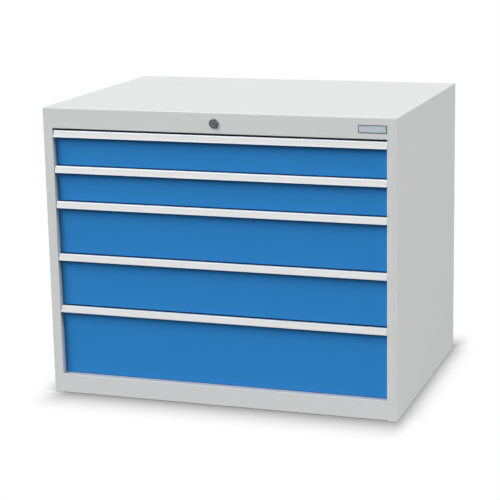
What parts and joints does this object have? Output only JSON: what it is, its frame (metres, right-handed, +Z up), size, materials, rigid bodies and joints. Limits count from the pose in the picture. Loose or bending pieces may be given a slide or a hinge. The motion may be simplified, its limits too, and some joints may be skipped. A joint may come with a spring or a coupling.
{
  "type": "drawer cabinet",
  "caption": "Low wide workshop drawer cabinet: light grey sheet steel case, blue recessed drawer fronts with slanted full-width grip strips, and a central lock in the header.",
  "frame": {"origin": "on the floor, in the middle of the whole outline", "axes": "+X to the right along the front, +Y to the back, +Z up; the drawers open towards -Y"},
  "size_m": [1.005, 0.742, 0.819],
  "materials": {
    "grey_powder_coat": "satin powder coat with a fine orange-peel texture",
    "blue_powder_coat": "satin powder coat with a fine orange-peel texture",
    "anodised_aluminium": "matt anodised, extruded along its length",
    "label_cover": "clear cover over blank paper",
    "zinc_plated_steel": "bright zinc plate",
    "nickel_plated_lock": "dull nickel plate",
    "plate_rim": "matt dark grey",
    "plate_field": "satin light blue-grey, bare"
  },
  "bodies": {
    "carcass": {"side_panel_left": "grey_powder_coat", "side_panel_right": "grey_powder_coat", "top_panel": "grey_powder_coat", "base_panel": "grey_powder_coat", "rear_panel": "grey_powder_coat", "upright_front_left": "grey_powder_coat", "upright_front_right": "grey_powder_coat", "upright_rear_left": "grey_powder_coat", "upright_rear_right": "grey_powder_coat", "name_plate_frame": "plate_rim", "name_plate_field": "plate_field", "cabinet_rails_1": "zinc_plated_steel", "cabinet_rails_2": "zinc_plated_steel", "cabinet_rails_3": "zinc_plated_steel", "cabinet_rails_4": "zinc_plated_steel", "cabinet_rails_5": "zinc_plated_steel", "lock_housing": "nickel_plated_lock", "lock_nut": "zinc_plated_steel", "shaft_bearing": "zinc_plated_steel", "lock_column": "grey_powder_coat", "lock_bar_guides": "zinc_plated_steel", "guide_screws": "zinc_plated_steel"},
    "drawer_1": {"drawer_tray_1": "grey_powder_coat", "drawer_front_1": "blue_powder_coat", "grip_strip_1": "anodised_aluminium", "label_strip_1": "label_cover", "drawer_rails_1": "zinc_plated_steel"},
    "middle_1": {"middle_rails_1": "zinc_plated_steel"},
    "drawer_2": {"drawer_tray_2": "grey_powder_coat", "drawer_front_2": "blue_powder_coat", "grip_strip_2": "anodised_aluminium", "label_strip_2": "label_cover", "drawer_rails_2": "zinc_plated_steel"},
    "middle_2": {"middle_rails_2": "zinc_plated_steel"},
    "drawer_3": {"drawer_tray_3": "grey_powder_coat", "drawer_front_3": "blue_powder_coat", "grip_strip_3": "anodised_aluminium", "label_strip_3": "label_cover", "drawer_rails_3": "zinc_plated_steel"},
    "middle_3": {"middle_rails_3": "zinc_plated_steel"},
    "drawer_4": {"drawer_tray_4": "grey_powder_coat", "drawer_front_4": "blue_powder_coat", "grip_strip_4": "anodised_aluminium", "label_strip_4": "label_cover", "drawer_rails_4": "zinc_plated_steel"},
    "middle_4": {"middle_rails_4": "zinc_plated_steel"},
    "drawer_5": {"drawer_tray_5": "grey_powder_coat", "drawer_front_5": "blue_powder_coat", "grip_strip_5": "anodised_aluminium", "label_strip_5": "label_cover", "drawer_rails_5": "zinc_plated_steel"},
    "middle_5": {"middle_rails_5": "zinc_plated_steel"},
    "lock_core": {"lock_plug": "nickel_plated_lock", "lock_shaft": "zinc_plated_steel", "lock_crank": "zinc_plated_steel"},
    "lock_bar": {"lock_bar": "zinc_plated_steel"}
  },
  "joints": [
    {"name": "drawer_1_slide", "type": "slide", "parent": "carcass", "child": "drawer_1", "axis": [0, -1, 0], "range_m": [0, 0.6]},
    {"name": "middle_1_slide", "type": "slide", "parent": "carcass", "child": "middle_1", "axis": [0, -1, 0], "range_m": [0, 0.3]},
    {"name": "drawer_2_slide", "type": "slide", "parent": "carcass", "child": "drawer_2", "axis": [0, -1, 0], "range_m": [0, 0.6]},
    {"name": "middle_2_slide", "type": "slide", "parent": "carcass", "child": "middle_2", "axis": [0, -1, 0], "range_m": [0, 0.3]},
    {"name": "drawer_3_slide", "type": "slide", "parent": "carcass", "child": "drawer_3", "axis": [0, -1, 0], "range_m": [0, 0.6]},
    {"name": "middle_3_slide", "type": "slide", "parent": "carcass", "child": "middle_3", "axis": [0, -1, 0], "range_m": [0, 0.3]},
    {"name": "drawer_4_slide", "type": "slide", "parent": "carcass", "child": "drawer_4", "axis": [0, -1, 0], "range_m": [0, 0.6]},
    {"name": "middle_4_slide", "type": "slide", "parent": "carcass", "child": "middle_4", "axis": [0, -1, 0], "range_m": [0, 0.3]},
    {"name": "drawer_5_slide", "type": "slide", "parent": "carcass", "child": "drawer_5", "axis": [0, -1, 0], "range_m": [0, 0.6]},
    {"name": "middle_5_slide", "type": "slide", "parent": "carcass", "child": "middle_5", "axis": [0, -1, 0], "range_m": [0, 0.3]},
    {"name": "lock_turn", "type": "hinge", "parent": "carcass", "child": "lock_core", "pos_m": [0, -0.365, 0.79025], "axis": [0, 1, 0], "range_deg": [0, 90]},
    {"name": "lock_bar_lift", "type": "slide", "parent": "carcass", "child": "lock_bar", "axis": [0, 0, 1], "range_m": [0, 0.01273]}
  ],
  "couplings": [
    {"joint": "middle_1_slide", "follows": "drawer_1_slide", "ratio": 0.5},
    {"joint": "middle_2_slide", "follows": "drawer_2_slide", "ratio": 0.5},
    {"joint": "middle_3_slide", "follows": "drawer_3_slide", "ratio": 0.5},
    {"joint": "middle_4_slide", "follows": "drawer_4_slide", "ratio": 0.5},
    {"joint": "middle_5_slide", "follows": "drawer_5_slide", "ratio": 0.5},
    {"joint": "lock_turn", "follows": "lock_bar_lift", "rad_per_m": 123.41}
  ]
}
